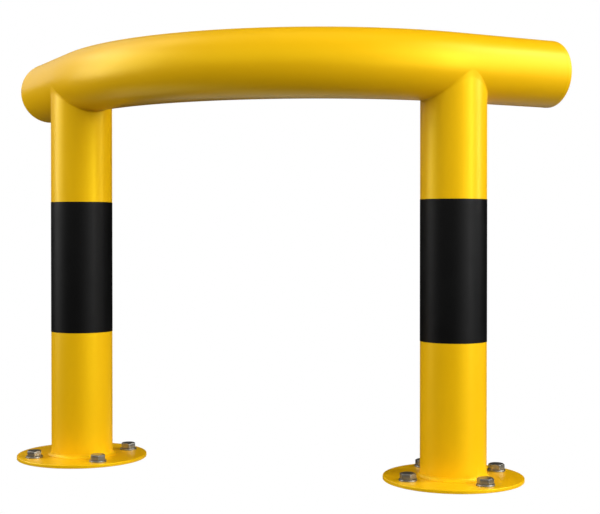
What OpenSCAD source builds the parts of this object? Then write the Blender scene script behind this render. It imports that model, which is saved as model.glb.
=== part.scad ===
// Steel corner guard: a bent tube rail on two flanged tube posts, held down by sleeve anchors.
// The origin lies midway between the posts, on the plane of the base plates' undersides.
// +Z is up, X runs from post to post, and the rail bulges towards -Y, the side that takes the blows.

/* [Rail] */
// Overall height, from the undersides of the base plates to the top of the rail
overall_h = 491; // [420:1:1200]
// Outer diameter of the rail tube
rail_d = 76.1; // [76:0.1:120]
// Wall of the rail tube
rail_wall = 3; // [2.6:0.1:8]
// Radius of the bend, to the axis of the tube
bend_r = 320; // [240:1:600]
// Angle that the rail turns through, with a post at each end of the bend
bend_angle = 90; // [60:1:110]
// Straight length of rail beyond each post's axis, end cap included
stub_len = 135; // [80:1:300]

/* [Rail caps] */
// Thickness of the end caps
cap_t = 5; // [4.8:0.1:10]
// Rounding of the end caps' outer edge
cap_edge_r = 2; // [0.5:0.1:2.5]
// Depth of the V groove that the cap weld fills
cap_groove = 2; // [0.5:0.1:2]

/* [Posts] */
// Outer diameter of the post tubes, a size below the rail
post_d = 73; // [48:0.1:73]
// Wall of the post tubes
post_wall = 3; // [2:0.1:8]
// Gap between post and rail that the saddle weld fills
saddle_gap = 1; // [0.4:0.1:2]
// Height that the saddle weld stands proud of the post
saddle_bead = 0.8; // [0.2:0.1:1.2]

/* [Base plates] */
// Diameter of the base plates
plate_d = 155; // [140:0.5:300]
// Thickness of the base plates
plate_t = 4; // [3:0.1:15]
// Rounding of the base plates' upper edge
plate_edge_r = 1.2; // [0.3:0.1:2]
// Leg of the fillet weld around each post's foot
foot_weld_leg = 4.5; // [2:0.1:6]
// Distance from the rim of a base plate to the axes of its anchors
anchor_edge = 18.5; // [14:0.5:20]
// Clearance all round between an anchor's sleeve and its hole in the plate
hole_clear = 0.9; // [0.2:0.1:2]

/* [Marking bands] */
// Height of the bands' lower edge above the undersides of the plates
band_z = 152.5; // [40:0.5:170]
// Height of the bands
band_h = 155.5; // [20:0.5:160]
// Thickness of the band film
band_t = 0.2; // [0.1:0.05:0.5]

/* [Anchors] */
// Shank diameter of the anchor bolts
bolt_d = 9.9; // [6:0.1:12]
// Length of the anchor bolts, under the head
bolt_len = 60; // [56:1:120]
// Length of the bolts' thick shoulders, under the head
shoulder_len = 18; // [12:0.5:20]
// Width across the flats of the bolt heads
head_af = 16; // [13:0.1:19]
// Height of the bolt heads
head_h = 6.4; // [4:0.1:9]
// Outer diameter of the washers
washer_d = 20; // [17:0.1:24]
// Thickness of the washers
washer_t = 2; // [1:0.1:4]
// Wall of the expansion sleeves
sleeve_wall = 0.9; // [0.7:0.05:1.5]
// Clearance all round between a bolt and its sleeve
sleeve_clear = 0.15; // [0.05:0.05:0.3]
// Length of the expansion sleeves, from the bolts' shoulders down
sleeve_len = 30; // [26:1:32]
// Width of the slits in the sleeves' lower ends
slit_w = 1; // [0.5:0.1:1.5]
// Length of the slits
slit_len = 20; // [8:1:24]

/* [Hidden] */
SIDES = ["left", "right"];
ANCHORS = [1, 2, 3, 4];
SIDE_PARTS = ["post", "base_plate", "rail_cap", "cap_weld", "saddle_weld", "foot_weld", "band"];
ANCHOR_PARTS = ["bolt", "washer", "sleeve", "cone_nut"];

$fn = 96;
paint = [0.99, 0.74, 0.08];
film = [0.07, 0.07, 0.07];
zinc = [0.72, 0.70, 0.66];
raw_steel = [0.55, 0.55, 0.54];

past = 1;                                     // cutters run this far past what they cut
rail_r = rail_d / 2;
rail_z = overall_h - rail_r;                  // height of the rail's axis
post_r = post_d / 2;
post_bore_r = post_r - post_wall;
post_x = bend_r * sin(bend_angle / 2);        // the posts stand where the bend meets the stubs
bend_centre_y = bend_r * cos(bend_angle / 2);
cap_weld_z = stub_len - cap_t;                // the joint between tube and cap, along the stub
rod_lap = 0.5;                                // how far the cutting rod's stub laps its bend
rod_step = 0.05;                              // how much thicker that stub is
bead_r = post_r + min(saddle_bead, (rail_r - post_r) / 2);
foot_toe = 0.4;                               // thickness of the foot weld at its toes
plate_r = plate_d / 2;
edge_steps = 6;                               // flats that make up a rounded edge
anchor_turn = 360 / len(ANCHORS);
anchor_circle_r = plate_r - anchor_edge;
sleeve_bore_r = bolt_d / 2 + sleeve_clear;
sleeve_r = sleeve_bore_r + sleeve_wall;       // the shoulders and the cone nuts are as thick as the sleeves
anchor_hole_r = sleeve_r + hole_clear;
crown_share = 0.92;                           // flat top of a bolt head, as a share of its width
bolt_tip = 1;                                 // chamfer of the bolt's end
bolt_bottom_z = plate_t + washer_t - bolt_len;
neck_r = sleeve_r - 0.3;                      // the shoulder, relieved where it passes plate and washer
thread_clear = 0.05;                          // between the bolt and the cone nut's bore
washer_clear = 0.3;                           // between the bolt's shoulder and the washer
tip_wall = 0.2;                               // how far the cone nut's tip stands out of the sleeve's bore
cone_tip_r = sleeve_bore_r + tip_wall;
cone_taper = 7;                               // height of the cone nut's tapered part
sleeve_lip = 0.2;                             // wall left at the sleeve's end, where it sits on the cone
sleeve_top_z = plate_t + washer_t - shoulder_len;
sleeve_bottom_z = sleeve_top_z - sleeve_len;
cone_slope = (sleeve_r - cone_tip_r) / cone_taper;
cone_base_z = sleeve_bottom_z - sleeve_lip / cone_slope;
cone_base_h = 4;

function side_sign(side) = side == "left" ? -1 : 1;

// Points of a rounded corner: centre [x, y], radius r, from angle a0 to a1
function corner(x, y, r, a0, a1) =
    [for (i = [0 : edge_steps]) let (a = a0 + (a1 - a0) * i / edge_steps) [x + r * cos(a), y + r * sin(a)]];

// Puts its children at a post's axis
module at_post(side) {
    translate([side_sign(side) * post_x, 0, 0]) children();
}

// Puts its children at the start of a stub, with +Z along the stub and away from the bend,
// and +X away from the bend's centre
module at_stub(side) {
    heading = 90 - side_sign(side) * (90 - bend_angle / 2);
    at_post(side) translate([0, 0, rail_z])
        rotate([0, 90, heading]) rotate([0, 0, -90 * side_sign(side)]) children();
}

// Sweeps its 2D children, drawn around the tube's axis, through the bend
module bend() {
    translate([0, bend_centre_y, rail_z])
        rotate([0, 0, -90 - bend_angle / 2])
            rotate_extrude(angle = bend_angle) translate([bend_r, 0]) children();
}

// The bend and one stub as a plain rod of radius r, for cutting the post and the weld to its surface.
// The stub is a hair thicker and laps the bend, so that no skin is left between the two.
module rail_rod(side, r) {
    bend() circle(r = r);
    at_stub(side) translate([0, 0, -rod_lap]) cylinder(r = r + rod_step, h = stub_len + rod_lap);
}

module rail() {
    color(paint) {
        bend() difference() {
            circle(r = rail_r);
            circle(r = rail_r - rail_wall);
        }
        for (side = SIDES) at_stub(side)
            rotate_extrude() polygon([
                [rail_r - rail_wall, 0], [rail_r, 0], [rail_r, cap_weld_z - cap_groove],
                [rail_r - cap_groove, cap_weld_z], [rail_r - rail_wall, cap_weld_z]
            ]);
    }
}

module rail_cap(side) {
    color(paint) at_stub(side)
        rotate_extrude() polygon(concat(
            [[0, cap_weld_z], [rail_r - cap_groove, cap_weld_z], [rail_r, cap_weld_z + cap_groove]],
            corner(rail_r - cap_edge_r, stub_len - cap_edge_r, cap_edge_r, 0, 90),
            [[0, stub_len]]
        ));
}

module cap_weld(side) {
    color(paint) at_stub(side)
        rotate_extrude() polygon([
            [rail_r - cap_groove, cap_weld_z], [rail_r, cap_weld_z - cap_groove],
            [rail_r, cap_weld_z + cap_groove]
        ]);
}

module post(side) {
    color(paint) difference() {
        at_post(side) translate([0, 0, plate_t]) difference() {
            cylinder(r = post_r, h = rail_z - plate_t);
            translate([0, 0, -past]) cylinder(r = post_bore_r, h = rail_z - plate_t + 2 * past);
        }
        rail_rod(side, rail_r + saddle_gap);
    }
}

// Fills the gap between post and rail, and stands a little proud of the post
module saddle_weld(side) {
    reach = rail_r + saddle_gap;
    color(paint) difference() {
        intersection() {
            at_post(side) translate([0, 0, rail_z - reach - past]) difference() {
                cylinder(r = bead_r, h = reach);
                translate([0, 0, -past]) cylinder(r = post_bore_r, h = reach + 2 * past);
            }
            rail_rod(side, reach);
        }
        rail_rod(side, rail_r);
    }
}

module foot_weld(side) {
    scoop_r = foot_weld_leg - foot_toe;
    color(paint) at_post(side) translate([0, 0, plate_t])
        rotate_extrude() polygon(concat(
            [[post_r, 0], [post_r + foot_weld_leg, 0]],
            corner(post_r + foot_weld_leg, foot_weld_leg, scoop_r, -90, -180),
            [[post_r, foot_weld_leg]]
        ));
}

module base_plate(side) {
    color(paint) at_post(side) difference() {
        rotate_extrude() polygon(concat(
            [[0, 0], [plate_r, 0]],
            corner(plate_r - plate_edge_r, plate_t - plate_edge_r, plate_edge_r, 0, 90),
            [[0, plate_t]]
        ));
        for (n = ANCHORS) at_anchor(n)
            translate([0, 0, -past]) cylinder(r = anchor_hole_r, h = plate_t + 2 * past);
    }
}

module band(side) {
    color(film) at_post(side) translate([0, 0, band_z]) difference() {
        cylinder(r = post_r + band_t, h = band_h);
        translate([0, 0, -past]) cylinder(r = post_r, h = band_h + 2 * past);
    }
}

// Puts its children at anchor n of a foot. The heads' flats all face the same way.
module at_anchor(n) {
    angle = (n - 0.5) * anchor_turn;
    translate([anchor_circle_r * cos(angle), anchor_circle_r * sin(angle), 0]) children();
}

module anchor_bolt() {
    corner_r = head_af / 2 / cos(30);
    crown_r = head_af / 2 * crown_share;
    shank_len = bolt_len - shoulder_len;
    color(zinc) {
        translate([0, 0, plate_t + washer_t]) intersection() {
            cylinder(r = corner_r, h = head_h, $fn = 6);
            rotate_extrude() polygon([
                [0, 0], [corner_r, 0], [corner_r, head_h - (corner_r - crown_r) * tan(30)],
                [crown_r, head_h], [0, head_h]
            ]);
        }
        translate([0, 0, bolt_bottom_z]) rotate_extrude() polygon([
            [0, 0], [bolt_d / 2 - bolt_tip, 0], [bolt_d / 2, bolt_tip], [bolt_d / 2, shank_len],
            [sleeve_r, shank_len], [sleeve_r, -bolt_bottom_z], [neck_r, -bolt_bottom_z], [neck_r, bolt_len],
            [0, bolt_len]
        ]);
    }
}

module anchor_washer() {
    color(zinc) translate([0, 0, plate_t]) difference() {
        cylinder(d = washer_d, h = washer_t);
        translate([0, 0, -past]) cylinder(r = sleeve_r + washer_clear, h = washer_t + 2 * past);
    }
}

// The cone nut's outside: a short rod below, and the taper that spreads the sleeve
module cone_shape() {
    rotate_extrude() polygon([
        [0, cone_base_z - cone_base_h], [sleeve_r, cone_base_z - cone_base_h], [sleeve_r, cone_base_z],
        [cone_tip_r, cone_base_z + cone_taper], [0, cone_base_z + cone_taper]
    ]);
}

module anchor_cone_nut() {
    color(raw_steel) difference() {
        cone_shape();
        translate([0, 0, cone_base_z - cone_base_h - past])
            cylinder(r = bolt_d / 2 + thread_clear, h = cone_base_h + cone_taper + 2 * past);
    }
}

module anchor_sleeve() {
    color(zinc) difference() {
        translate([0, 0, sleeve_bottom_z]) cylinder(r = sleeve_r, h = sleeve_len);
        translate([0, 0, sleeve_bottom_z - past]) cylinder(r = sleeve_bore_r, h = sleeve_len + 2 * past);
        cone_shape();
        for (turn = [0 : 120 : 240]) rotate([0, 0, turn])
            translate([0, -slit_w / 2, sleeve_bottom_z - past]) cube([2 * sleeve_r, slit_w, slit_len + past]);
    }
}

rail();
for (side = SIDES) {
    post(side);
    base_plate(side);
    rail_cap(side);
    cap_weld(side);
    saddle_weld(side);
    foot_weld(side);
    band(side);
    for (n = ANCHORS) {
        tag = str(side, "_anchor_");
        at_post(side) at_anchor(n) anchor_bolt();
        at_post(side) at_anchor(n) anchor_washer();
        at_post(side) at_anchor(n) anchor_sleeve();
        at_post(side) at_anchor(n) anchor_cone_nut();
    }
}
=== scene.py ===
import logging
import math
from dataclasses import dataclass, field
from enum import Enum
from typing import Callable, Iterable, Sequence

import bmesh
import bpy
import numpy as np
from mathutils import Matrix, Vector


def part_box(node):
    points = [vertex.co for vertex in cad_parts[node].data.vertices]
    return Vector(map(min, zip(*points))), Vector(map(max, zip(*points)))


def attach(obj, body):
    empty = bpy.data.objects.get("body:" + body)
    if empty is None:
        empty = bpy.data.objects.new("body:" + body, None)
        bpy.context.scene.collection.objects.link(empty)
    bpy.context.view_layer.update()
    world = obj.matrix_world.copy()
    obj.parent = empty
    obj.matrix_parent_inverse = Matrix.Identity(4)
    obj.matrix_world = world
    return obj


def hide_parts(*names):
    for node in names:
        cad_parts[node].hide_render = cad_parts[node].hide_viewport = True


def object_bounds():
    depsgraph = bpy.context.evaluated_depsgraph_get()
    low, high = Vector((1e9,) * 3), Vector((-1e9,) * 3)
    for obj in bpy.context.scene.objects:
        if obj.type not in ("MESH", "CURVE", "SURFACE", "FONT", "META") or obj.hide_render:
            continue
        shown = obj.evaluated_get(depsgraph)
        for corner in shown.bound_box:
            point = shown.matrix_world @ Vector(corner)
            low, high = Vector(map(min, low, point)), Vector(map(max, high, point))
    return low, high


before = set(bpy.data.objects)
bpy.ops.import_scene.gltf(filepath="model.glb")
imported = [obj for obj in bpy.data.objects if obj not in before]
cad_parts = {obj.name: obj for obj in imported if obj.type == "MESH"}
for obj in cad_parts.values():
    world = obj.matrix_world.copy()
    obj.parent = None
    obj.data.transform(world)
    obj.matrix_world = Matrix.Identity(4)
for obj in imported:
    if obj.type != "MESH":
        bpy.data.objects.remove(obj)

CAD_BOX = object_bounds()

MM = 0.001
TURN = 2 * math.pi
BODY = "root"
SMOOTH_ANGLE = math.radians(32)
INNER_RING = 0.6  # where a flat round face gets a ring of edges, as a share of its radius

log = logging.getLogger("corner_guard")


class Side(Enum):
    """The two ends of the guard, as they are named in the frame."""

    LEFT = "left"
    RIGHT = "right"

    @property
    def sign(self) -> int:
        """-1 for the end at negative X, 1 for the other."""
        return -1 if self is Side.LEFT else 1


class Slot(Enum):
    """The record's material slots."""

    COAT = "yellow_powder_coat"
    FILM = "black_film"
    ZINC = "zinc_plated_steel"
    STEEL = "plain_steel"


# --------------------------------------------------------------------------------------
# Meshes from rings of points
# --------------------------------------------------------------------------------------


def skin(name: str, rings: np.ndarray, loop: bool = False) -> bpy.types.Mesh:
    """Joins closed rings of points into one skin.

    Args:
        name: The mesh's name.
        rings: Points as an array of rings, points in a ring, and coordinates.
        loop: Whether the last ring joins the first, as on a washer.

    Returns:
        The mesh, with its doubles merged and its faces pointing outwards.
    """
    count, size, _ = rings.shape
    first = np.arange(count if loop else count - 1)[:, None] * size
    here = np.arange(size)[None, :]
    after = (here + 1) % size
    above = ((np.arange(count if loop else count - 1) + 1) % count)[:, None] * size
    quads = np.stack([first + here, first + after, above + after, above + here], axis=-1)
    mesh = bpy.data.meshes.new(name)
    mesh.from_pydata(rings.reshape(-1, 3).tolist(), [], quads.reshape(-1, 4).tolist())
    return tidied(mesh)


def tidied(mesh: bpy.types.Mesh) -> bpy.types.Mesh:
    """Merges a mesh's doubles, turns its faces outwards and shades it smooth between sharp edges.

    Args:
        mesh: The mesh, which is changed.

    Returns:
        The same mesh.
    """
    work = bmesh.new()
    work.from_mesh(mesh)
    bmesh.ops.remove_doubles(work, verts=work.verts, dist=0.002 * MM)
    bmesh.ops.dissolve_degenerate(work, edges=work.edges, dist=0.001 * MM)
    bmesh.ops.recalc_face_normals(work, faces=work.faces)
    work.to_mesh(mesh)
    work.free()
    mesh.shade_smooth()
    mesh.set_sharp_from_angle(angle=SMOOTH_ANGLE)
    return mesh


def circle_points(steps: int) -> np.ndarray:
    """Unit circle in the XY plane, as an array of steps points with three coordinates."""
    angles = np.linspace(0, TURN, steps, endpoint=False)
    return np.stack([np.cos(angles), np.sin(angles), np.zeros(steps)], axis=-1)


def lathe(name: str, outline: Sequence[tuple[float, float]], steps: int, loop: bool) -> bpy.types.Mesh:
    """Turns an outline about the Z axis.

    Args:
        name: The mesh's name.
        outline: Radius and height of each point, in metres.
        steps: Points round the axis.
        loop: Whether the outline is closed, as on a ring; otherwise both its ends lie on the axis.

    Returns:
        The turned solid.
    """
    around = circle_points(steps)
    rings = np.array([around * r + np.array([0, 0, z]) for r, z in outline])
    return skin(name, rings, loop)


def arc(cx: float, cy: float, r: float, start: float, end: float, steps: int) -> list[tuple[float, float]]:
    """Points of an arc about (cx, cy) with radius r, from start to end in degrees."""
    angles = [math.radians(start + (end - start) * i / steps) for i in range(steps + 1)]
    return [(cx + r * math.cos(a), cy + r * math.sin(a)) for a in angles]


def bridged(mesh: bpy.types.Mesh, loops: Callable[[bmesh.types.BMEdge], int]) -> bpy.types.Mesh:
    """Closes an open wall by joining its outer rims to its inner rims.

    Args:
        mesh: The mesh, which is changed.
        loops: Gives the number of the opening that a boundary edge belongs to.

    Returns:
        The same mesh, closed.
    """
    work = bmesh.new()
    work.from_mesh(mesh)
    rims: dict[int, list[bmesh.types.BMEdge]] = {}
    for edge in work.edges:
        if edge.is_boundary:
            rims.setdefault(loops(edge), []).append(edge)
    for edges in rims.values():
        bmesh.ops.bridge_loops(work, edges=edges)
    work.to_mesh(mesh)
    work.free()
    return tidied(mesh)


def stack(name: str, meshes: Iterable[bpy.types.Mesh]) -> bpy.types.Mesh:
    """Puts several meshes of one piece together.

    Args:
        name: The name of the result.
        meshes: The meshes, which are removed.

    Returns:
        One mesh with all their shells.
    """
    work = bmesh.new()
    for mesh in meshes:
        work.from_mesh(mesh)
        bpy.data.meshes.remove(mesh)
    result = bpy.data.meshes.new(name)
    work.to_mesh(result)
    work.free()
    result.shade_smooth()
    result.set_sharp_from_angle(angle=SMOOTH_ANGLE)
    return result


def shown(name: str, mesh: bpy.types.Mesh) -> bpy.types.Object:
    """A mesh as an object at the origin, in the scene."""
    thing = bpy.data.objects.new(name, mesh)
    bpy.context.scene.collection.objects.link(thing)
    return thing


def baked(thing: bpy.types.Object) -> bpy.types.Mesh:
    """Turns an object with its modifiers into a plain tidied mesh, and removes the object."""
    graph = bpy.context.evaluated_depsgraph_get()
    mesh = bpy.data.meshes.new_from_object(thing.evaluated_get(graph))
    bpy.data.objects.remove(thing)
    return tidied(mesh)


def moved(mesh: bpy.types.Mesh, x: float, y: float = 0) -> bpy.types.Mesh:
    """Moves a mesh in plan, and returns it."""
    mesh.transform(Matrix.Translation((x, y, 0)))
    return mesh


# --------------------------------------------------------------------------------------
# Geometry Nodes
# --------------------------------------------------------------------------------------


class Tree:
    """One Geometry Nodes tree with named inputs.

    Attributes:
        group: The node group.
        source: Its Group Input node.
        sink: Its Group Output node.
    """

    def __init__(self, name: str, inputs: Sequence[tuple[str, str]]) -> None:
        """Makes the tree's sockets.

        Args:
            name: The tree's name.
            inputs: Name and socket type of each input after the geometry.
        """
        self.group = bpy.data.node_groups.new(name, "GeometryNodeTree")
        sockets = self.group.interface
        sockets.new_socket("Geometry", in_out="INPUT", socket_type="NodeSocketGeometry")
        sockets.new_socket("Geometry", in_out="OUTPUT", socket_type="NodeSocketGeometry")
        for label, kind in inputs:
            sockets.new_socket(label, in_out="INPUT", socket_type=kind)
        self.source = self.group.nodes.new("NodeGroupInput")
        self.sink = self.group.nodes.new("NodeGroupOutput")

    def node(self, kind: str, **settings: object) -> bpy.types.Node:
        """Adds a node, with its properties."""
        made = self.group.nodes.new(kind)
        for label, value in settings.items():
            setattr(made, label, value)
        return made

    def link(self, start: bpy.types.NodeSocket, end: bpy.types.NodeSocket) -> None:
        """Links an output to an input."""
        self.group.links.new(start, end)

    def math(self, operation: str, a: object, b: object = 0.0) -> bpy.types.NodeSocket:
        """Adds a Math node.

        Args:
            operation: The node's operation.
            a: A socket or a number.
            b: A socket or a number.

        Returns:
            The node's output.
        """
        made = self.node("ShaderNodeMath", operation=operation)
        for value, end in zip((a, b), made.inputs):
            if isinstance(value, (int, float)):
                end.default_value = value
            else:
                self.link(value, end)
        return made.outputs[0]

    def end(self, geometry: bpy.types.NodeSocket) -> None:
        """Ends the tree: realized, and in the material that its input names."""
        real = self.node("GeometryNodeRealizeInstances")
        dressed = self.node("GeometryNodeSetMaterial")
        self.link(geometry, real.inputs[0])
        self.link(real.outputs[0], dressed.inputs["Geometry"])
        self.link(self.source.outputs["Material"], dressed.inputs["Material"])
        self.link(dressed.outputs[0], self.sink.inputs[0])

    def run(self, name: str, host: bpy.types.Mesh, values: dict[str, object]) -> bpy.types.Mesh:
        """Runs the tree on a mesh.

        Args:
            name: The name of the result.
            host: The mesh that the tree starts from, which is removed.
            values: The inputs' values by their names.

        Returns:
            The result as a plain mesh.
        """
        carrier = shown(name + "_carrier", host)
        modifier = carrier.modifiers.new(self.group.name, "NODES")
        modifier.node_group = self.group
        for item in self.group.interface.items_tree:
            if item.in_out == "INPUT" and item.name in values:
                modifier[item.identifier] = values[item.name]
        graph = bpy.context.evaluated_depsgraph_get()
        graph.update()
        mesh = bpy.data.meshes.new_from_object(carrier.evaluated_get(graph))
        mesh.name = name
        carrier.modifiers.clear()
        bpy.data.objects.remove(carrier)
        bpy.data.meshes.remove(host)
        return mesh


def path_mesh(name: str, points: np.ndarray, closed: bool) -> bpy.types.Mesh:
    """A chain of edges through points, for a tree to follow.

    Args:
        name: The mesh's name.
        points: The points in order.
        closed: Whether the last point joins the first.

    Returns:
        The mesh, which has edges only.
    """
    count = len(points)
    edges = [(i, (i + 1) % count) for i in range(count if closed else count - 1)]
    mesh = bpy.data.meshes.new(name)
    mesh.from_pydata(points.tolist(), edges, [])
    return mesh


def sweep_tree() -> Tree:
    """Tree that sweeps a circle along a path, as a tube's wall."""
    tree = Tree("sweep_tube", [
        ("Radius", "NodeSocketFloat"), ("Sides", "NodeSocketInt"), ("Material", "NodeSocketMaterial"),
    ])
    line = tree.node("GeometryNodeMeshToCurve")
    ring = tree.node("GeometryNodeCurvePrimitiveCircle")
    tube = tree.node("GeometryNodeCurveToMesh")
    tree.link(tree.source.outputs["Geometry"], line.inputs[0])
    tree.link(tree.source.outputs["Radius"], ring.inputs["Radius"])
    tree.link(tree.source.outputs["Sides"], ring.inputs["Resolution"])
    tree.link(line.outputs[0], tube.inputs["Curve"])
    tree.link(ring.outputs[0], tube.inputs["Profile Curve"])
    tree.end(tube.outputs[0])
    return tree


def weld_tree() -> Tree:
    """Tree that puts the ripples of its passes on a weld that runs round an upright axis."""
    tree = Tree("weld_ripples", [
        ("Centre X", "NodeSocketFloat"), ("Ripple Angle", "NodeSocketFloat"),
        ("Ripple Height", "NodeSocketFloat"), ("Material", "NodeSocketMaterial"),
    ])
    out = tree.source.outputs
    place = tree.node("GeometryNodeInputPosition")
    parts = tree.node("ShaderNodeSeparateXYZ")
    drift = tree.node("ShaderNodeTexNoise")
    drift.inputs["Scale"].default_value = 180.0
    tree.link(place.outputs[0], parts.inputs[0])
    tree.link(place.outputs[0], drift.inputs["Vector"])
    across = tree.math("SUBTRACT", parts.outputs["X"], out["Centre X"])
    angle = tree.math("ARCTAN2", parts.outputs["Y"], across)
    wandering = tree.math("ADD", tree.math("DIVIDE", angle, out["Ripple Angle"]), drift.outputs[0])
    wave = tree.math("ABSOLUTE", tree.math("SINE", tree.math("MULTIPLY", wandering, math.pi)))
    height = tree.math("MULTIPLY", wave, out["Ripple Height"])
    normal = tree.node("GeometryNodeInputNormal")
    push = tree.node("ShaderNodeVectorMath", operation="SCALE")
    moved = tree.node("GeometryNodeSetPosition")
    tree.link(normal.outputs[0], push.inputs[0])
    tree.link(height, push.inputs["Scale"])
    tree.link(out["Geometry"], moved.inputs["Geometry"])
    tree.link(push.outputs[0], moved.inputs["Offset"])
    tree.end(moved.outputs[0])
    return tree


def thread_tree() -> Tree:
    """Tree that winds a thread's ridge round a shank, along a spiral of even radius."""
    tree = Tree("thread_ridge", [
        ("Radius", "NodeSocketFloat"), ("Turns", "NodeSocketFloat"), ("Length", "NodeSocketFloat"),
        ("Ridge", "NodeSocketFloat"), ("Base", "NodeSocketFloat"), ("Material", "NodeSocketMaterial"),
    ])
    out = tree.source.outputs
    spiral = tree.node("GeometryNodeCurveSpiral")
    spiral.inputs["Resolution"].default_value = 32
    ring = tree.node("GeometryNodeCurvePrimitiveCircle")
    ring.inputs["Resolution"].default_value = 4
    tube = tree.node("GeometryNodeCurveToMesh")
    tube.inputs["Fill Caps"].default_value = True
    lift = tree.node("GeometryNodeTransform")
    offset = tree.node("ShaderNodeCombineXYZ")
    for end in ("Start Radius", "End Radius"):
        tree.link(out["Radius"], spiral.inputs[end])
    tree.link(out["Turns"], spiral.inputs["Rotations"])
    tree.link(out["Length"], spiral.inputs["Height"])
    tree.link(out["Ridge"], ring.inputs["Radius"])
    tree.link(spiral.outputs[0], tube.inputs["Curve"])
    tree.link(ring.outputs[0], tube.inputs["Profile Curve"])
    tree.link(out["Base"], offset.inputs["Z"])
    tree.link(tube.outputs[0], lift.inputs["Geometry"])
    tree.link(offset.outputs[0], lift.inputs["Translation"])
    tree.end(lift.outputs[0])
    return tree


def ring_tree() -> Tree:
    """Tree that repeats a piece on the points of the host mesh, all turned the same way."""
    tree = Tree("piece_at_each_point", [("Piece", "NodeSocketObject"), ("Material", "NodeSocketMaterial")])
    piece = tree.node("GeometryNodeObjectInfo")
    spread = tree.node("GeometryNodeInstanceOnPoints")
    tree.link(tree.source.outputs["Piece"], piece.inputs["Object"])
    tree.link(tree.source.outputs["Geometry"], spread.inputs["Points"])
    tree.link(piece.outputs["Geometry"], spread.inputs["Instance"])
    tree.end(spread.outputs[0])
    return tree


# --------------------------------------------------------------------------------------
# Finishes
# --------------------------------------------------------------------------------------


def shader_group(
    name: str, inputs: Sequence[tuple[str, str]], output: tuple[str, str],
) -> bpy.types.NodeTree:
    """An empty shader node group with named sockets.

    Args:
        name: The group's name.
        inputs: Name and socket type of each input.
        output: Name and socket type of the output.

    Returns:
        The group, with nodes named source and sink.
    """
    group = bpy.data.node_groups.new(name, "ShaderNodeTree")
    for label, kind in inputs:
        group.interface.new_socket(label, in_out="INPUT", socket_type=kind)
    group.interface.new_socket(output[0], in_out="OUTPUT", socket_type=output[1])
    group.nodes.new("NodeGroupInput").name = "source"
    group.nodes.new("NodeGroupOutput").name = "sink"
    return group


def skin_texture_group() -> bpy.types.NodeTree:
    """Height of a fine skin: a soft peel with a finer grain on it."""
    group = shader_group("skin_texture", [
        ("Vector", "NodeSocketVector"), ("Peel Scale", "NodeSocketFloat"),
        ("Grain Scale", "NodeSocketFloat"), ("Grain Share", "NodeSocketFloat"),
    ], ("Height", "NodeSocketFloat"))
    nodes, links = group.nodes, group.links
    source, sink = nodes["source"], nodes["sink"]
    peel, grain = nodes.new("ShaderNodeTexNoise"), nodes.new("ShaderNodeTexNoise")
    peel.inputs["Detail"].default_value = 1.0
    grain.inputs["Detail"].default_value = 2.0
    mixed = nodes.new("ShaderNodeMix")
    for texture, scale in ((peel, "Peel Scale"), (grain, "Grain Scale")):
        links.new(source.outputs["Vector"], texture.inputs["Vector"])
        links.new(source.outputs[scale], texture.inputs["Scale"])
    links.new(source.outputs["Grain Share"], mixed.inputs[0])
    links.new(peel.outputs[0], mixed.inputs[2])
    links.new(grain.outputs[0], mixed.inputs[3])
    links.new(mixed.outputs[0], sink.inputs[0])
    return group


def cloud(group: bpy.types.NodeTree, detail: float) -> bpy.types.NodeSocket:
    """Adds a cloudy noise to a group with Vector and Scale inputs.

    Args:
        group: The group.
        detail: The noise's detail.

    Returns:
        The noise, whose middle range is spread over 0 to 1.
    """
    nodes, links = group.nodes, group.links
    noise, spread = nodes.new("ShaderNodeTexNoise"), nodes.new("ShaderNodeMapRange")
    noise.inputs["Detail"].default_value = detail
    spread.inputs["From Min"].default_value = 0.3
    spread.inputs["From Max"].default_value = 0.7
    for label in ("Vector", "Scale"):
        links.new(nodes["source"].outputs[label], noise.inputs[label])
    links.new(noise.outputs[0], spread.inputs["Value"])
    return spread.outputs[0]


def drift_group() -> bpy.types.NodeTree:
    """A value that drifts over a surface between two ends, in clouds."""
    group = shader_group("cloudy_value", [
        ("Vector", "NodeSocketVector"), ("Scale", "NodeSocketFloat"),
        ("Low", "NodeSocketFloat"), ("High", "NodeSocketFloat"),
    ], ("Value", "NodeSocketFloat"))
    source, mixed = group.nodes["source"], group.nodes.new("ShaderNodeMix")
    group.links.new(cloud(group, 4.0), mixed.inputs[0])
    group.links.new(source.outputs["Low"], mixed.inputs[2])
    group.links.new(source.outputs["High"], mixed.inputs[3])
    group.links.new(mixed.outputs[0], group.nodes["sink"].inputs[0])
    return group


def tint_group() -> bpy.types.NodeTree:
    """A colour that drifts between two tints, in clouds."""
    group = shader_group("cloudy_tint", [
        ("Vector", "NodeSocketVector"), ("Scale", "NodeSocketFloat"),
        ("Tint A", "NodeSocketColor"), ("Tint B", "NodeSocketColor"),
    ], ("Colour", "NodeSocketColor"))
    source, mixed = group.nodes["source"], group.nodes.new("ShaderNodeMix")
    mixed.data_type = "RGBA"
    group.links.new(cloud(group, 5.0), mixed.inputs[0])
    group.links.new(source.outputs["Tint A"], mixed.inputs[6])
    group.links.new(source.outputs["Tint B"], mixed.inputs[7])
    group.links.new(mixed.outputs[2], group.nodes["sink"].inputs[0])
    return group


Colour = tuple[float, float, float]


@dataclass(frozen=True)
class Effects:
    """The shader node groups that the finishes share."""

    skin: bpy.types.NodeTree
    drift: bpy.types.NodeTree
    tint: bpy.types.NodeTree

    @classmethod
    def build(cls) -> "Effects":
        """Builds each group once."""
        return cls(skin_texture_group(), drift_group(), tint_group())


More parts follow.
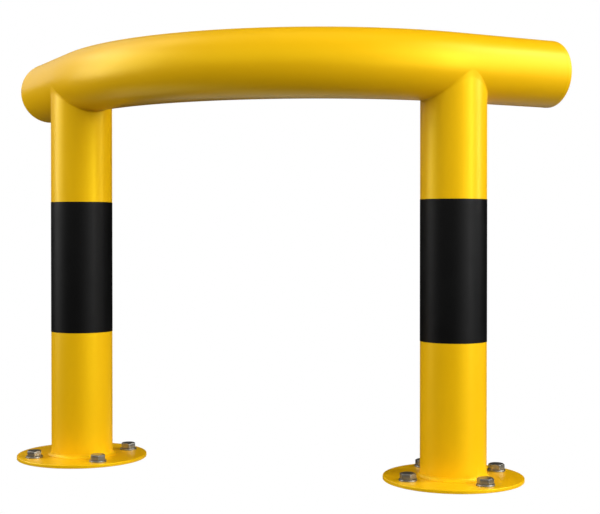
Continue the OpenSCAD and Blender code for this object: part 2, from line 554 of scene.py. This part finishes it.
@dataclass(frozen=True)
class Finish:
    """A surface finish, with the sizes of its texture in metres.

    Attributes:
        slot: The record's slot that it belongs to.
        tint_a: One end of its colour's drift.
        tint_b: The other end.
        tint_size: Size of the colour clouds.
        smooth: Roughness where it is smoothest.
        rough: Roughness where it is roughest.
        rough_size: Size of the roughness clouds.
        metallic: 1 for bare or plated metal.
        specular: Specular level of a coat.
        specular_tint: Colour of a coat's reflections.
        peel_size: Size of the soft peel.
        grain_size: Size of the fine grain.
        grain_share: Share of the grain in the texture's height.
        relief: Height of the texture.
        relief_strength: Strength of the texture's bump.
    """

    slot: Slot
    tint_a: Colour
    tint_b: Colour
    tint_size: float
    smooth: float
    rough: float
    rough_size: float
    metallic: float
    specular: float
    specular_tint: Colour
    peel_size: float
    grain_size: float
    grain_share: float
    relief: float
    relief_strength: float

    def material(self, effects: Effects) -> bpy.types.Material:
        """Builds the finish's material.

        Args:
            effects: The shared node groups.

        Returns:
            The material.
        """
        made = bpy.data.materials.new(self.slot.value)
        made.use_nodes = True
        nodes, links = made.node_tree.nodes, made.node_tree.links
        surface = nodes["Principled BSDF"]
        surface.inputs["Metallic"].default_value = self.metallic
        surface.inputs["Specular IOR Level"].default_value = self.specular
        surface.inputs["Specular Tint"].default_value = (*self.specular_tint, 1)
        place = nodes.new("ShaderNodeTexCoord").outputs["Object"]

        def effect(group: bpy.types.NodeTree, values: dict[str, object]) -> bpy.types.NodeSocket:
            """Places a shared group with its own values, and returns its output."""
            node = nodes.new("ShaderNodeGroup")
            node.node_tree = group
            links.new(place, node.inputs["Vector"])
            for label, value in values.items():
                node.inputs[label].default_value = value
            return node.outputs[0]

        tint = effect(effects.tint, {
            "Scale": 1 / self.tint_size, "Tint A": (*self.tint_a, 1), "Tint B": (*self.tint_b, 1)})
        rough = effect(effects.drift, {
            "Scale": 1 / self.rough_size, "Low": self.smooth, "High": self.rough})
        height = effect(effects.skin, {
            "Peel Scale": 1 / self.peel_size, "Grain Scale": 1 / self.grain_size,
            "Grain Share": self.grain_share})
        bump = nodes.new("ShaderNodeBump")
        bump.inputs["Strength"].default_value = self.relief_strength
        bump.inputs["Distance"].default_value = self.relief
        links.new(tint, surface.inputs["Base Color"])
        links.new(rough, surface.inputs["Roughness"])
        links.new(height, bump.inputs["Height"])
        links.new(bump.outputs[0], surface.inputs["Normal"])
        return made


POWDER_COAT = Finish(
    slot=Slot.COAT, tint_a=(0.890, 0.494, 0.004), tint_b=(0.910, 0.510, 0.005), tint_size=0.09,
    smooth=0.32, rough=0.36, rough_size=0.05, metallic=0.0, specular=1.0, specular_tint=(1.0, 0.81, 0.03),
    peel_size=2.2 * MM, grain_size=0.5 * MM, grain_share=0.2, relief=0.02 * MM, relief_strength=0.35,
)
BLACK_FILM = Finish(
    slot=Slot.FILM, tint_a=(0.0014, 0.0014, 0.0014), tint_b=(0.0019, 0.0019, 0.0019), tint_size=0.04,
    smooth=0.40, rough=0.47, rough_size=0.03, metallic=0.0, specular=0.128, specular_tint=(1.0, 1.0, 1.0),
    peel_size=1.2 * MM, grain_size=0.3 * MM, grain_share=0.5, relief=0.01 * MM, relief_strength=0.3,
)
ZINC_PLATE = Finish(
    slot=Slot.ZINC, tint_a=(0.24, 0.235, 0.215), tint_b=(0.33, 0.315, 0.275), tint_size=0.006,
    smooth=0.30, rough=0.40, rough_size=0.003, metallic=0.85, specular=0.5, specular_tint=(1.0, 1.0, 1.0),
    peel_size=1.0 * MM, grain_size=0.15 * MM, grain_share=0.5, relief=0.01 * MM, relief_strength=0.4,
)
PLAIN_STEEL = Finish(
    slot=Slot.STEEL, tint_a=(0.36, 0.35, 0.34), tint_b=(0.47, 0.46, 0.45), tint_size=0.004,
    smooth=0.3, rough=0.45, rough_size=0.002, metallic=1.0, specular=0.5, specular_tint=(1.0, 1.0, 1.0),
    peel_size=0.8 * MM, grain_size=0.12 * MM, grain_share=0.6, relief=0.015 * MM, relief_strength=0.5,
)


# --------------------------------------------------------------------------------------
# The workshop: hands out materials and trees, and puts finished pieces in place
# --------------------------------------------------------------------------------------


@dataclass
class Workshop:
    """What every sub-assembly needs to build and place its pieces.

    Attributes:
        materials: The finished materials by slot.
        sweep: Tree that sweeps a tube.
        weld: Tree that puts ripples on a weld.
        thread: Tree that winds a thread.
        ring: Tree that repeats a piece.
        count: How many pieces are in place.
    """

    materials: dict[Slot, bpy.types.Material]
    sweep: Tree
    weld: Tree
    thread: Tree
    ring: Tree
    count: int = 0

    @classmethod
    def open(cls) -> "Workshop":
        """Builds the shared effects, materials and trees."""
        effects = Effects.build()
        finishes = (POWDER_COAT, BLACK_FILM, ZINC_PLATE, PLAIN_STEEL)
        materials = {finish.slot: finish.material(effects) for finish in finishes}
        return cls(materials, sweep_tree(), weld_tree(), thread_tree(), ring_tree())

    def place(self, name: str, mesh: bpy.types.Mesh, slot: Slot, nodes: Sequence[str]) -> bpy.types.Object:
        """Puts a piece in place of its CAD nodes.

        Args:
            name: The piece's name.
            mesh: Its mesh, in the frame's coordinates.
            slot: Its finish.
            nodes: The CAD nodes that it stands for.

        Returns:
            The piece.
        """
        mesh.materials.clear()
        mesh.materials.append(self.materials[slot])
        piece = shown(name, mesh)
        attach(piece, BODY)
        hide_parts(*nodes)
        self.count += 1
        log.info("%s: %d faces in %s, for %s", name, len(mesh.polygons), slot.value, ", ".join(nodes))
        return piece


# --------------------------------------------------------------------------------------
# Rail
# --------------------------------------------------------------------------------------


@dataclass
class Rail:
    """The bent tube with its two caps and their ground welds.

    Attributes:
        post_x: Distance of each post's axis from the middle.
        axis_z: Height of the tube's axis.
        radius: Outer radius of the tube.
        wall: Wall of the tube.
        bend_angle: Angle that the tube turns through, in radians.
        stub_len: Straight length past each post's axis, cap included.
        cap_t: Thickness of a cap.
        cap_edge: Rounding of a cap's edge.
        groove: Depth of the groove that a cap's weld fills.
        bulge: How far a cap's weld stands proud of the tube.
    """

    post_x: float
    axis_z: float
    radius: float
    wall: float = 3 * MM
    bend_angle: float = math.radians(90)
    stub_len: float = 135 * MM
    cap_t: float = 5 * MM
    cap_edge: float = 2 * MM
    groove: float = 2 * MM
    bulge: float = 0.15 * MM
    sides: int = 144
    bend_steps: int = 120
    stub_steps: int = 20

    @classmethod
    def from_frame(cls) -> "Rail":
        """Reads the places and the tube's size from the frame."""
        low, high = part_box("rail")
        post_low, post_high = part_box("right_post")
        return cls((post_low.x + post_high.x) / 2, (low.z + high.z) / 2, (high.z - low.z) / 2)

    @property
    def bend_r(self) -> float:
        """Radius of the bend, to the tube's axis."""
        return self.post_x / math.sin(self.bend_angle / 2)

    @property
    def centre_y(self) -> float:
        """Y of the bend's centre."""
        return self.bend_r * math.cos(self.bend_angle / 2)

    def direction(self, side: Side) -> np.ndarray:
        """Unit vector along a stub, away from the bend."""
        half = self.bend_angle / 2
        return np.array([side.sign * math.cos(half), math.sin(half), 0.0])

    def centreline(self, length: float) -> np.ndarray:
        """Points along the tube's axis, with stubs of the given length."""
        half = self.bend_angle / 2
        angles = np.linspace(-half, half, self.bend_steps + 1)
        bend = np.stack([
            self.bend_r * np.sin(angles), self.centre_y - self.bend_r * np.cos(angles),
            np.full(len(angles), self.axis_z)], axis=-1)
        reach = np.linspace(0, length, self.stub_steps + 1)[1:, None]
        left = bend[0] + reach[::-1] * self.direction(Side.LEFT)
        right = bend[-1] + reach * self.direction(Side.RIGHT)
        return np.concatenate([left, bend, right])

    def clearance(self, x: np.ndarray, y: np.ndarray) -> np.ndarray:
        """Distance of points from the tube's axis in plan.

        Args:
            x: X of each point.
            y: Y of each point.

        Returns:
            The distance in the horizontal plane.
        """
        to_bend = np.abs(np.hypot(x, y - self.centre_y) - self.bend_r)
        along_x, along_y = math.cos(self.bend_angle / 2), math.sin(self.bend_angle / 2)
        past = (np.abs(x) - self.post_x) * along_x + y * along_y
        to_stub = np.abs(-(np.abs(x) - self.post_x) * along_y + y * along_x)
        return np.where(past > 0, to_stub, to_bend)

    def underside(self, x: np.ndarray, y: np.ndarray, gap: float) -> np.ndarray:
        """Height of the tube's underside above points, lowered by a gap measured square to it."""
        reach = np.maximum((self.radius + gap) ** 2 - self.clearance(x, y) ** 2, 0)
        return self.axis_z - np.sqrt(reach)

    def tube(self, shop: Workshop) -> bpy.types.Mesh:
        """The tube's wall, bevelled at both ends for the caps' welds."""
        sizes = {"Sides": self.sides, "Material": shop.materials[Slot.COAT]}
        joint = self.stub_len - self.cap_t
        outer_path = path_mesh("rail_path", self.centreline(joint - self.groove), False)
        inner_path = path_mesh("bore_path", self.centreline(joint), False)
        outer = shop.sweep.run("rail_outside", outer_path, {"Radius": self.radius, **sizes})
        inner = shop.sweep.run("rail_bore", inner_path, {"Radius": self.radius - self.wall, **sizes})
        both = stack("rail_tube", [outer, inner])
        return bridged(both, lambda edge: int(edge.verts[0].co.x > 0))

    def at_stub(self, mesh: bpy.types.Mesh, side: Side) -> bpy.types.Mesh:
        """Moves a mesh drawn along +Z from the origin to the start of a stub."""
        start = Vector((side.sign * self.post_x, 0, self.axis_z))
        turn = Vector(self.direction(side).tolist()).to_track_quat("Z", "Y").to_matrix().to_4x4()
        turn.translation = start
        mesh.transform(turn)
        return mesh

    def cap(self, side: Side) -> bpy.types.Mesh:
        """A flat cap with a rounded edge."""
        r, joint = self.radius, self.stub_len - self.cap_t
        outline = [(0, joint), (r - self.groove, joint), (r, joint + self.groove)]
        outline += arc(r - self.cap_edge, self.stub_len - self.cap_edge, self.cap_edge, 0, 90, 8)
        outline += [(r * INNER_RING, self.stub_len), (0, self.stub_len)]
        return self.at_stub(lathe(f"{side.value}_rail_cap", outline, self.sides, False), side)

    def cap_weld(self, side: Side) -> bpy.types.Mesh:
        """The weld that joins cap and tube, ground nearly flush."""
        r, joint = self.radius, self.stub_len - self.cap_t
        steps = 8
        crown = [(r + self.bulge * math.sin(math.pi * i / steps), joint + self.groove * (2 * i / steps - 1))
                 for i in range(steps + 1)]
        outline = [(r - self.groove, joint)] + crown
        return self.at_stub(lathe(f"{side.value}_cap_weld", outline, self.sides, True), side)

    def build(self, shop: Workshop) -> None:
        """Builds and places the rail's pieces."""
        shop.place("rail_tube", self.tube(shop), Slot.COAT, ["rail"])
        for side in Side:
            for part, make in (("rail_cap", self.cap), ("cap_weld", self.cap_weld)):
                name = f"{side.value}_{part}"
                shop.place(name + "_finished", make(side), Slot.COAT, [name])


# --------------------------------------------------------------------------------------
# Posts and feet
# --------------------------------------------------------------------------------------


@dataclass
class Post:
    """One post with its foot, its welds and its marking band.

    Attributes:
        side: Which post.
        rail: The rail that it carries.
        x: Where its axis stands.
        radius: Outer radius of its tube.
        plate_r: Radius of the base plate.
        plate_t: Thickness of the base plate.
        band_low: Height of the band's lower edge.
        band_high: Height of the band's upper edge.
        anchors: Where the anchors stand, in plan.
    """

    side: Side
    rail: Rail
    x: float
    radius: float
    plate_r: float
    plate_t: float
    band_low: float
    band_high: float
    anchors: list[tuple[float, float]]
    wall: float = 3 * MM
    saddle_gap: float = 1 * MM
    saddle_root: float = 1.4 * MM
    saddle_leg: float = 0.85 * MM
    foot_leg: float = 4.5 * MM
    foot_toe: float = 0.4 * MM
    plate_edge: float = 1.2 * MM
    plate_burr: float = 0.3 * MM
    plate_ring: float = 0.5
    hole_r: float = 6.9 * MM
    film_t: float = 0.2 * MM
    film_overlap: float = 12 * MM
    film_ramp: float = 0.02  # radians, over which the film climbs onto its own start
    film_steps: int = 240
    weld_back: float = 0.5 * MM
    embed: float = 0.3 * MM
    sides: int = 144
    rows: int = 40

    @classmethod
    def from_frame(cls, side: Side, rail: Rail) -> "Post":
        """Reads the post's places and sizes from the frame."""
        low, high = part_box(f"{side.value}_post")
        plate_low, plate_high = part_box(f"{side.value}_base_plate")
        band_low, band_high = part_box(f"{side.value}_band")
        centres = [sum(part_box(f"{side.value}_anchor_bolt_{n}"), Vector()) / 2 for n in range(1, 5)]
        return cls(
            side=side, rail=rail, x=(low.x + high.x) / 2, radius=(high.x - low.x) / 2,
            plate_r=(plate_high.x - plate_low.x) / 2, plate_t=plate_high.z,
            band_low=band_low.z, band_high=band_high.z, anchors=[(c.x, c.y) for c in centres])

    def named(self, part: str) -> str:
        """The name of one of this side's parts."""
        return f"{self.side.value}_{part}"

    def saddle(self, radius: float, gap: float, steps: int) -> np.ndarray:
        """The curve where a cylinder round the post meets the rail's underside.

        Args:
            radius: The cylinder's radius.
            gap: Distance kept from the rail's surface.
            steps: How many points.

        Returns:
            The points of the closed curve.
        """
        ring = circle_points(steps) * radius + np.array([self.x, 0, 0])
        ring[:, 2] = self.rail.underside(ring[:, 0], ring[:, 1], gap)
        return ring

    def tube(self) -> bpy.types.Mesh:
        """The post's tube, cut to the rail's curve at the top."""
        walls = []
        for radius in (self.radius, self.radius - self.wall):
            top = self.saddle(radius, self.saddle_gap, self.sides)
            low = np.array(top)
            low[:, 2] = self.plate_t
            share = np.linspace(0, 1, self.rows + 1)[:, None, None]
            walls.append(low + (top - low) * share)
        return skin(self.named("post"), np.concatenate([walls[0], walls[1][::-1]]), loop=True)

    def rippled(self, shop: Workshop, mesh: bpy.types.Mesh, pitch: float, height: float) -> bpy.types.Mesh:
        """Puts ripples on a weld round the post.

        Args:
            shop: The workshop, for its tree.
            mesh: The smooth weld, which is removed.
            pitch: Distance between the ripples.
            height: Height of the ripples.

        Returns:
            The rippled weld.
        """
        ripples = round(TURN * self.radius / pitch)
        made = shop.weld.run(mesh.name, mesh, {
            "Centre X": self.x, "Ripple Angle": TURN / ripples, "Ripple Height": height,
            "Material": shop.materials[Slot.COAT]})
        return tidied(made)

    def saddle_weld(self, shop: Workshop) -> bpy.types.Mesh:
        """The fillet between post and rail: flush with the post below, flaring onto the rail above."""
        rows, steps, root, leg = 8, 540, self.saddle_root, self.saddle_leg
        profile = [(-self.embed, root)]
        profile += [(leg * (i / rows) ** 1.7, root * (1 - i / rows) ** 1.1) for i in range(rows + 1)]
        profile += [(0, -self.embed), (-self.weld_back, -self.embed)]
        rings = [self.saddle(self.radius + extra, gap, steps) for extra, gap in profile]
        mesh = skin(self.named("saddle_weld"), np.array(rings), loop=True)
        return self.rippled(shop, mesh, 2.4 * MM, 0.01 * MM)

    def foot_weld(self, shop: Workshop) -> bpy.types.Mesh:
        """The fillet round the post's foot."""
        rows, steps = 10, 720
        back, toe = self.radius - self.weld_back, self.radius + self.foot_leg
        low, top = self.plate_t - self.embed, self.plate_t + self.foot_leg
        profile = [(back, low), (toe, low), *arc(toe, top, self.foot_leg - self.foot_toe, -90, -180, rows)]
        mesh = moved(lathe(self.named("foot_weld"), [*profile, (back, top)], steps, True), self.x)
        return self.rippled(shop, mesh, 3.2 * MM, 0.08 * MM)

    def base_plate(self) -> bpy.types.Mesh:
        """The round plate with its rounded rim and its anchor holes."""
        r, t = self.plate_r, self.plate_t
        outline = [(0, 0), (r * self.plate_ring, 0), (r - self.plate_burr, 0), (r, self.plate_burr)]
        outline += arc(r - self.plate_edge, t - self.plate_edge, self.plate_edge, 0, 90, 8)
        outline += [(r * self.plate_ring, t), (0, t)]
        plate = shown(self.named("base_plate_blank"), moved(lathe("plate", outline, 256, False), self.x))
        low, high = -2 * MM, t + 2 * MM
        drill = [(0, low), (self.hole_r, low), (self.hole_r, high), (0, high)]
        drills = [moved(lathe("drill", drill, 64, False), x, y) for x, y in self.anchors]
        cutter = shown("drills", stack("drills", drills))
        cut = plate.modifiers.new("holes", "BOOLEAN")
        cut.operation, cut.solver, cut.object = "DIFFERENCE", "EXACT", cutter
        mesh = baked(plate)
        bpy.data.objects.remove(cutter)
        return mesh

    def band(self) -> bpy.types.Mesh:
        """The film wrapped round the post, whose end laps over its start at the back."""
        lap, ramp = self.film_overlap / self.radius, self.film_ramp
        turns = np.linspace(0, TURN + lap, self.film_steps + 1)
        lift = np.clip((turns - TURN + ramp) / ramp, 0, 1) * self.film_t
        angles = turns + math.pi / 2
        rims = []
        for extra, z in ((0, self.band_low), (self.film_t, self.band_low),
                         (self.film_t, self.band_high), (0, self.band_high)):
            r = self.radius + extra + lift
            rims.append(np.stack([r * np.cos(angles), r * np.sin(angles), np.full(len(turns), z)], axis=-1))
        rings = np.array(rims).transpose(1, 0, 2)
        mesh = skin(self.named("band"), rings)
        work = bmesh.new()
        work.from_mesh(mesh)
        bmesh.ops.holes_fill(work, edges=[edge for edge in work.edges if edge.is_boundary])
        work.to_mesh(mesh)
        work.free()
        return moved(tidied(mesh), self.x)

    def build(self, shop: Workshop) -> None:
        """Builds and places the post's pieces."""
        coated = {"post": self.tube(), "saddle_weld": self.saddle_weld(shop),
                  "foot_weld": self.foot_weld(shop), "base_plate": self.base_plate()}
        for part, mesh in coated.items():
            shop.place(self.named(part) + "_finished", mesh, Slot.COAT, [self.named(part)])
        shop.place(self.named("band") + "_finished", self.band(), Slot.FILM, [self.named("band")])


# --------------------------------------------------------------------------------------
# Anchors
# --------------------------------------------------------------------------------------


@dataclass
class Anchors:
    """The four sleeve anchors of one foot, each drawn once and repeated.

    Attributes:
        side: Which foot.
        points: Where the anchors stand, in plan.
        plate_t: Thickness of the plate that they hold.
    """

    side: Side
    points: list[tuple[float, float]]
    plate_t: float
    bolt_r: float = 4.95 * MM
    bolt_len: float = 60 * MM
    head_af: float = 16 * MM
    head_h: float = 6.4 * MM
    crown_share: float = 0.92
    face_share: float = 0.97
    face_lip: float = 0.35 * MM
    head_rounding: float = 0.22 * MM
    embed: float = 0.2 * MM
    shoulder_edge: float = 0.2 * MM
    washer_r: float = 10 * MM
    washer_t: float = 2 * MM
    washer_clear: float = 0.3 * MM
    washer_edge: float = 0.25 * MM
    sleeve_r: float = 6 * MM
    neck_r: float = 5.7 * MM
    sleeve_wall: float = 0.9 * MM
    shoulder_len: float = 18 * MM
    sleeve_len: float = 30 * MM
    slit_w: float = 1 * MM
    slit_len: float = 20 * MM
    pitch: float = 1.5 * MM
    thread_depth: float = 0.75 * MM
    ridge_h: float = 0.72 * MM
    tip_chamfer: float = 0.8 * MM
    thread_len: float = 22 * MM
    cone_low: float = -48 * MM
    cone_mid: float = -44 * MM
    cone_high: float = -37 * MM
    cone_tip_r: float = 5.3 * MM
    cone_edge: float = 0.3 * MM
    thread_clear: float = 0.05 * MM
    sides: int = 96

    def head(self) -> bpy.types.Mesh:
        """The hexagon head with its chamfered crown, flats square to Y."""
        base, half = self.plate_t + self.washer_t, self.head_af / 2
        top, lip = base + self.head_h, base + self.face_lip
        angles = np.linspace(0, TURN, self.sides, endpoint=False)
        hexagon = half / np.cos(np.mod(angles, math.pi / 3) - math.pi / 6)
        crown_r = half * self.crown_share
        shoulder = top - (hexagon - crown_r) * math.tan(math.radians(30))
        unit = circle_points(self.sides)

        def ring(radius: np.ndarray | float, height: np.ndarray | float) -> np.ndarray:
            """One ring of the head, with a radius and a height at each angle."""
            made = unit * np.broadcast_to(radius, (self.sides,))[:, None]
            made[:, 2] = height
            return made

        rings = [ring(0, base), ring(half * self.face_share, base)]
        rings += [ring(hexagon, lip + (shoulder - lip) * i / 4) for i in range(5)]
        rings += [ring(crown_r, top), ring(crown_r * INNER_RING, top), ring(0, top)]
        head = shown("head", skin("head", np.array(rings)))
        rounding = head.modifiers.new("rounding", "BEVEL")
        rounding.width, rounding.segments = self.head_rounding, 2
        rounding.limit_method, rounding.angle_limit = "ANGLE", math.radians(25)
        return baked(head)

    def bolt(self, shop: Workshop) -> bpy.types.Mesh:
        """Head, shank and rolled thread."""
        under_head = self.plate_t + self.washer_t
        top, tip = under_head + self.embed, under_head - self.bolt_len
        core, step = self.bolt_r - self.thread_depth, under_head - self.shoulder_len
        run, edge = tip + self.thread_len, self.shoulder_edge
        outline = [(0, tip), (core - self.tip_chamfer, tip), (core, tip + self.tip_chamfer), (core, run),
                   (self.bolt_r, run + 1 * MM), (self.bolt_r, step), (self.sleeve_r - edge, step),
                   (self.sleeve_r, step + edge), (self.sleeve_r, -edge), (self.neck_r, edge / 2),
                   (self.neck_r, top), (0, top)]
        shank = lathe("shank", outline, self.sides, False)
        wound = self.thread_len - 2 * MM
        ridge = shop.thread.run("thread", path_mesh("thread_host", np.zeros((2, 3)), False), {
            "Radius": core, "Turns": wound / self.pitch, "Length": wound, "Ridge": self.ridge_h,
            "Base": tip + 1 * MM, "Material": shop.materials[Slot.ZINC]})
        return stack("bolt", [self.head(), shank, tidied(ridge)])

    def washer(self) -> bpy.types.Mesh:
        """A flat washer with broken edges."""
        r, bore, edge = self.washer_r, self.sleeve_r + self.washer_clear, self.washer_edge
        low, high = self.plate_t, self.plate_t + self.washer_t
        outline = [(bore, low + edge), (bore + edge, low), (r - edge, low), (r, low + edge)]
        outline += arc(r - 2 * edge, high - 2 * edge, 2 * edge, 0, 90, 5)
        outline += [(bore + edge, high), (bore, high - edge)]
        return lathe("washer", outline, self.sides, True)

    def sleeve(self) -> bpy.types.Mesh:
        """The expansion sleeve: a rolled shell, slit three times from below."""
        high = self.plate_t + self.washer_t - self.shoulder_len
        bottom = high - self.sleeve_len
        slit_top = bottom + self.slit_len
        half_slit = self.slit_w / 2 / self.sleeve_r
        leaves, third = 24, TURN / 3
        columns = []
        for n in range(3):
            columns += np.linspace(n * third + half_slit, (n + 1) * third - half_slit, leaves).tolist()
        slit_rows = 8
        heights = [*np.linspace(bottom, slit_top, slit_rows + 1), *np.linspace(slit_top, high, 8)[1:]]
        work = bmesh.new()
        around = [(self.sleeve_r * math.cos(a), self.sleeve_r * math.sin(a)) for a in columns]
        grid = [[work.verts.new((x, y, z)) for x, y in around] for z in heights]
        for row, (low_ring, high_ring) in enumerate(zip(grid, grid[1:])):
            for i in range(len(columns)):
                after = (i + 1) % len(columns)
                if row < slit_rows and (i + 1) % leaves == 0:
                    continue
                work.faces.new((low_ring[i], low_ring[after], high_ring[after], high_ring[i]))
        mesh = bpy.data.meshes.new("sleeve")
        work.to_mesh(mesh)
        work.free()
        sleeve = shown("sleeve", mesh)
        wall = sleeve.modifiers.new("wall", "SOLIDIFY")
        wall.thickness, wall.offset, wall.use_even_offset = self.sleeve_wall, -1, True
        return baked(sleeve)

    def cone_nut(self) -> bpy.types.Mesh:
        """The nut whose taper spreads the sleeve."""
        bore, edge = self.bolt_r + self.thread_clear, self.cone_edge
        outline = [(bore, self.cone_low), (self.sleeve_r - edge, self.cone_low),
                   (self.sleeve_r, self.cone_low + edge), (self.sleeve_r, self.cone_mid),
                   (self.cone_tip_r, self.cone_high), (bore, self.cone_high)]
        return lathe("cone_nut", outline, self.sides, True)

    def build(self, shop: Workshop) -> None:
        """Builds each part once, and repeats it at the foot's four anchors."""
        kinds = (("bolt", self.bolt(shop), Slot.ZINC), ("washer", self.washer(), Slot.ZINC),
                 ("sleeve", self.sleeve(), Slot.ZINC), ("cone_nut", self.cone_nut(), Slot.STEEL))
        for kind, single, slot in kinds:
            model = shown("model", single)
            host = path_mesh("anchor_points", np.array([(x, y, 0) for x, y in self.points]), False)
            mesh = shop.ring.run(f"{self.side.value}_anchor_{kind}s", host,
                                 {"Piece": model, "Material": shop.materials[slot]})
            bpy.data.objects.remove(model)
            nodes = [f"{self.side.value}_anchor_{kind}_{n + 1}" for n in range(len(self.points))]
            shop.place(f"{self.side.value}_anchor_{kind}s", mesh, slot, nodes)


# --------------------------------------------------------------------------------------
# Studio
# --------------------------------------------------------------------------------------


@dataclass(frozen=True)
class Softbox:
    """A soft light that looks at the guard.

    Attributes:
        name: What it is for.
        azimuth: Where it stands, in degrees from the side that the camera looks from, towards +X.
        elevation: Its height above the horizon, in degrees.
        width: Its width in metres.
        height: Its height in metres.
        power: Its power in watts.
    """

    name: str
    azimuth: float
    elevation: float
    width: float
    height: float
    power: float

    def build(self, centre: Vector, distance: float) -> None:
        """Sets the light up round a centre, at a distance."""
        a, e = math.radians(self.azimuth), math.radians(self.elevation)
        away = Vector((math.sin(a) * math.cos(e), -math.cos(a) * math.cos(e), math.sin(e)))
        data = bpy.data.lights.new(self.name, "AREA")
        data.shape, data.size, data.size_y, data.energy = "RECTANGLE", self.width, self.height, self.power
        lamp = bpy.data.objects.new(self.name, data)
        lamp.location = centre + away * distance
        lamp.rotation_euler = (-away).to_track_quat("-Z", "Y").to_euler()
        bpy.context.scene.collection.objects.link(lamp)


@dataclass
class Studio:
    """Floor, backdrop, lights and camera.

    Attributes:
        eye: Where the camera stands.
        heading: Angle from +Y towards -X that the camera looks along, in degrees.
        dip: Angle that it looks down by, in degrees.
        lens: Focal length in millimetres.
        shift: The lens shift that frames the guard.
        distance: Distance of the soft lights.
        floor_half: Half the floor's width.
        floor_gap: How far the floor lies under the plates.
        lights: The soft lights.
    """

    eye: Vector = field(default_factory=lambda: Vector((0.45712, -1.33005, 0.27207)))
    heading: float = 17.458
    dip: float = 0.613
    lens: float = 73.046
    shift: tuple[float, float] = (0.01548, -0.01974)
    distance: float = 3.0
    floor_half: float = 12.0
    floor_gap: float = 0.4 * MM
    lights: tuple[Softbox, ...] = (
        Softbox("front_wall", 0, 25, 4.4, 2.2, 34),
        Softbox("front_right", 45, 0, 1.6, 1.0, 7),
        Softbox("right_wall", 62, 20, 1.4, 2.6, 31),
        Softbox("right_near_strip", 75, 15, 0.4, 2.2, 31),
        Softbox("right_high", 90, 35, 1.4, 2.4, 29),
        Softbox("right_far_strip", 105, 24, 0.4, 2.6, 33),
        Softbox("left_wall", 290, 22, 2.4, 2.4, 55),
        Softbox("left_high", 270, 48, 1.6, 1.8, 15),
        Softbox("left_strip", 285, 14, 0.4, 2.2, 9),
        Softbox("back_left", 240, 30, 2.0, 2.2, 9),
        Softbox("back_low", 170, -30, 3.0, 1.6, 8),
        Softbox("floor_bounce", 240, -55, 4.0, 2.0, 24),
        Softbox("ceiling", 0, 80, 2.4, 2.4, 7),
    )

    def camera(self) -> None:
        """Sets the camera up."""
        data = bpy.data.cameras.new("camera")
        data.lens, data.sensor_width = self.lens, 36
        data.shift_x, data.shift_y = self.shift
        data.clip_end = 50
        seat = bpy.data.objects.new("camera", data)
        seat.location = self.eye
        seat.rotation_euler = (math.radians(90 - self.dip), 0, math.radians(self.heading))
        bpy.context.scene.collection.objects.link(seat)
        bpy.context.scene.camera = seat

    def floor(self) -> None:
        """Lays a floor that glows evenly white: no shadow shows on it, and the guard doesn't see it."""
        half, z = self.floor_half, -self.floor_gap
        mesh = bpy.data.meshes.new("floor")
        corners = [(-half, -half, z), (half, -half, z), (half, half, z), (-half, half, z)]
        mesh.from_pydata(corners, [], [(0, 1, 2, 3)])
        paint = bpy.data.materials.new("pale_floor")
        paint.use_nodes = True
        nodes, links = paint.node_tree.nodes, paint.node_tree.links
        nodes.clear()
        glow, sink = nodes.new("ShaderNodeEmission"), nodes.new("ShaderNodeOutputMaterial")
        glow.inputs["Color"].default_value = (1, 1, 1, 1)
        links.new(glow.outputs[0], sink.inputs[0])
        mesh.materials.append(paint)
        plane = shown("floor", mesh)
        plane.visible_diffuse = plane.visible_glossy = plane.visible_shadow = False

    def backdrop(self) -> None:
        """Makes the room: white to the eye, dark to the guard, which only the lamps light."""
        world = bpy.data.worlds.new("studio")
        world.use_nodes = True
        nodes, links = world.node_tree.nodes, world.node_tree.links
        seen, dark = nodes["Background"], nodes.new("ShaderNodeBackground")
        seen.inputs["Color"].default_value = (1, 1, 1, 1)
        dark.inputs["Color"].default_value = (0, 0, 0, 1)
        ray, either = nodes.new("ShaderNodeLightPath"), nodes.new("ShaderNodeMixShader")
        links.new(ray.outputs["Is Camera Ray"], either.inputs[0])
        links.new(dark.outputs[0], either.inputs[1])
        links.new(seen.outputs[0], either.inputs[2])
        links.new(either.outputs[0], nodes["World Output"].inputs[0])
        bpy.context.scene.world = world

    def build(self, centre: Vector) -> None:
        """Sets everything up round the guard's centre."""
        self.camera()
        self.floor()
        self.backdrop()
        for light in self.lights:
            light.build(centre, self.distance)
        bpy.context.scene.view_settings.view_transform = "Standard"


def main() -> None:
    """Builds the guard and its studio, in order."""
    logging.basicConfig(level=logging.INFO, format="%(name)s: %(message)s")
    low, high = CAD_BOX
    Studio().build((low + high) / 2)
    shop = Workshop.open()
    rail = Rail.from_frame()
    rail.build(shop)
    for side in Side:
        post = Post.from_frame(side, rail)
        post.build(shop)
        Anchors(side, post.anchors, post.plate_t).build(shop)
    log.info("%d pieces in place", shop.count)


if __name__ == "__main__":
    main()
